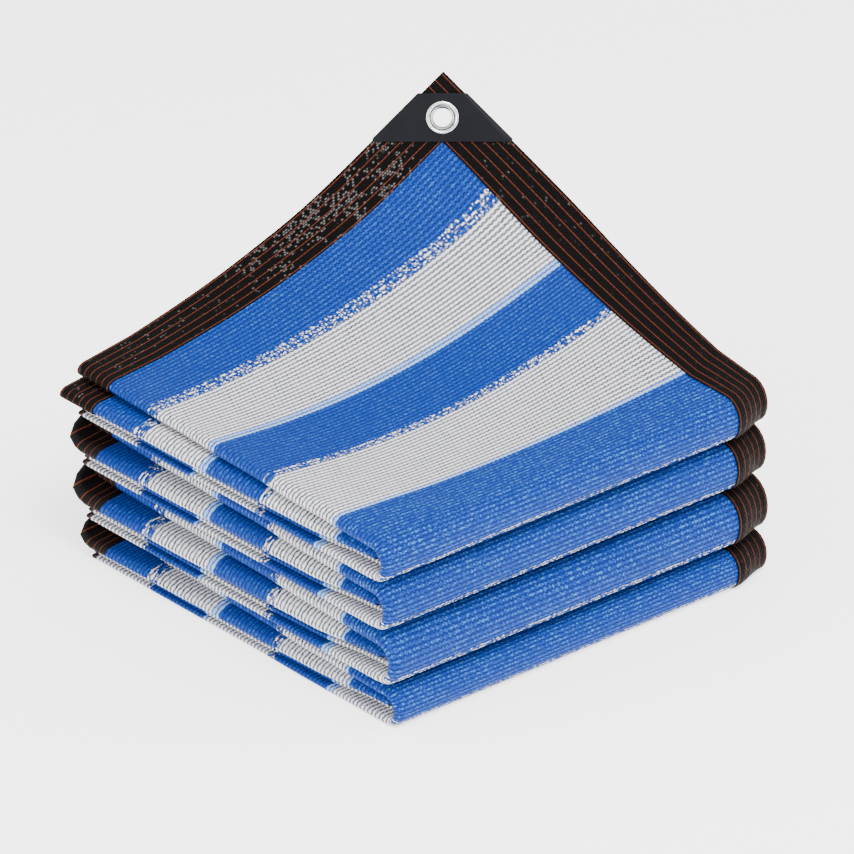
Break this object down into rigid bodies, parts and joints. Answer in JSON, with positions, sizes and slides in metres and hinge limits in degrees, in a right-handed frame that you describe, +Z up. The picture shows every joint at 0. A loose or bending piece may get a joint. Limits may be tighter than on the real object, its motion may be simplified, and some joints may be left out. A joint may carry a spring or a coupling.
{
  "type": "folded shade cloth",
  "caption": "Striped knitted shade net folded into a square stack, dark sewn border, one corner raised with a plastic patch and metal eyelet.",
  "frame": {"origin": "middle of the underside of the folded stack", "axes": "+Z up out of the stack, -Y towards the rounded front folds, -X towards the rolled edges, the raised corner at +X +Y"},
  "size_m": [0.3118, 0.31, 0.2711],
  "materials": {
    "knitted_net": "knitted plastic yarn in blue and white stripes",
    "border_tape": "dark knitted tape with rows of rust chain stitch",
    "corner_plastic": "smooth moulded, satin",
    "eyelet_metal": "bright pressed metal"
  },
  "bodies": {
    "root": {"shade_net": "knitted_net", "edge_band_side": "border_tape", "edge_band_back": "border_tape", "corner_patch": "corner_plastic", "eyelet": "eyelet_metal"}
  },
  "joints": []
}
